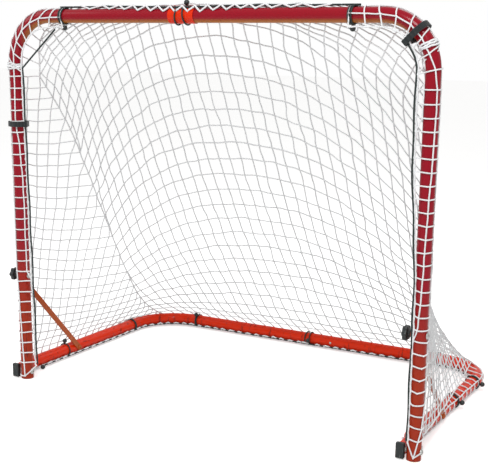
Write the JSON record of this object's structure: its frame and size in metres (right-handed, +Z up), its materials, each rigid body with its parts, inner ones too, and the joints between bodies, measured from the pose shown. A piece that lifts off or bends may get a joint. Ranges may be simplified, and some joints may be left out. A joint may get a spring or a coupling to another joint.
{
  "type": "street hockey goal",
  "caption": "Folding street hockey goal: round steel tube frame with hinged base, hooked flat braces, star knobs and white netting laced on with shock cord.",
  "frame": {"origin": "on the ground under the middle of the whole goal's bounding box", "axes": "+X to the right along the crossbar seen from the front, +Y from the goal mouth to the rear bar, +Z up"},
  "size_m": [1.3856, 0.8608, 1.1421],
  "materials": {
    "red_enamel": "gloss crimson enamel",
    "orange_enamel": "gloss orange-red enamel",
    "rust_enamel": "satin brown-orange enamel",
    "zinc_steel": "zinc plated",
    "black_plastic": "moulded, matte",
    "white_nylon": "plain",
    "black_rubber": "braided cover over rubber",
    "black_webbing": "hook and loop webbing",
    "white_twine": "twisted polyester twine"
  },
  "bodies": {
    "front_frame": {"left_frame_tube": "red_enamel", "right_frame_tube": "red_enamel", "crossbar_sleeve": "orange_enamel", "left_foot_plug": "black_plastic", "right_foot_plug": "black_plastic", "left_hinge_bolt": "zinc_steel", "right_hinge_bolt": "zinc_steel", "left_hinge_nut": "zinc_steel", "right_hinge_nut": "zinc_steel", "left_hinge_washer": "white_nylon", "right_hinge_washer": "white_nylon", "left_brace_top_bolt": "zinc_steel", "right_brace_top_bolt": "zinc_steel", "left_post_strap": "black_webbing", "right_corner_strap": "black_webbing", "left_post_cord": "black_rubber", "right_post_cord": "black_rubber", "crossbar_cord": "black_rubber", "crossbar_left_loop": "black_rubber", "crossbar_left_ball": "black_plastic", "crossbar_centre_left_loop": "black_rubber", "crossbar_centre_loop": "black_rubber", "crossbar_centre_ball": "black_plastic", "crossbar_right_loop": "black_rubber", "crossbar_right_ball": "black_plastic", "rear_net": "white_twine", "left_side_net": "white_twine", "right_side_net": "white_twine"},
    "base_frame": {"left_base_tube": "orange_enamel", "right_base_tube": "orange_enamel", "rear_bar_spigot": "zinc_steel", "left_bar_end_cap": "black_plastic", "right_bar_end_cap": "black_plastic", "left_brace_foot_bolt": "zinc_steel", "right_brace_foot_bolt": "zinc_steel", "left_brace_foot_nut": "zinc_steel", "right_brace_foot_nut": "zinc_steel", "base_cord": "black_rubber", "left_foot_ball": "black_plastic", "rear_left_loop": "black_rubber", "rear_left_ball": "black_plastic", "rear_centre_left_loop": "black_rubber", "rear_centre_loop": "black_rubber", "rear_centre_ball": "black_plastic", "rear_right_loop": "black_rubber", "left_bar_loop": "black_rubber", "left_bar_ball": "black_plastic", "left_side_loop": "black_rubber", "right_bar_loop": "black_rubber", "right_bar_ball": "black_plastic", "right_side_loop": "black_rubber", "right_side_ball": "black_plastic"},
    "left_brace": {"left_brace": "rust_enamel"},
    "right_brace": {"right_brace": "rust_enamel"},
    "left_knob": {"left_knob": "black_plastic"},
    "right_knob": {"right_knob": "black_plastic"},
    "snap_button": {"rear_snap_button": "zinc_steel"}
  },
  "joints": [
    {"name": "base_fold", "type": "hinge", "parent": "front_frame", "child": "base_frame", "pos_m": [0.02, -0.40018, 0.02388], "axis": [1, 0, 0], "range_deg": [0, 80], "deforming": ["rear_net", "left_side_net", "right_side_net"]},
    {"name": "left_brace_swing", "type": "hinge", "parent": "base_frame", "child": "left_brace", "pos_m": [-0.64175, -0.11518, 0.02388], "axis": [1, 0, 0], "range_deg": [-121, 0]},
    {"name": "right_brace_swing", "type": "hinge", "parent": "base_frame", "child": "right_brace", "pos_m": [0.64025, -0.11518, 0.02388], "axis": [1, 0, 0], "range_deg": [-121, 0]},
    {"name": "left_knob_turn", "type": "hinge", "parent": "front_frame", "child": "left_knob", "pos_m": [-0.654, -0.40018, 0.331], "axis": [-1, 0, 0], "continuous": true},
    {"name": "right_knob_turn", "type": "hinge", "parent": "front_frame", "child": "right_knob", "pos_m": [0.628, -0.40018, 0.331], "axis": [-1, 0, 0], "continuous": true},
    {"name": "snap_button_press", "type": "slide", "parent": "base_frame", "child": "snap_button", "axis": [0, 1, 0], "range_m": [0, 0.003], "stiffness_N_per_m": 400}
  ],
  "couplings": [
    {"joint": "left_brace_swing", "follows": "base_fold", "ratio": -1.51},
    {"joint": "right_brace_swing", "follows": "base_fold", "ratio": -1.51}
  ]
}
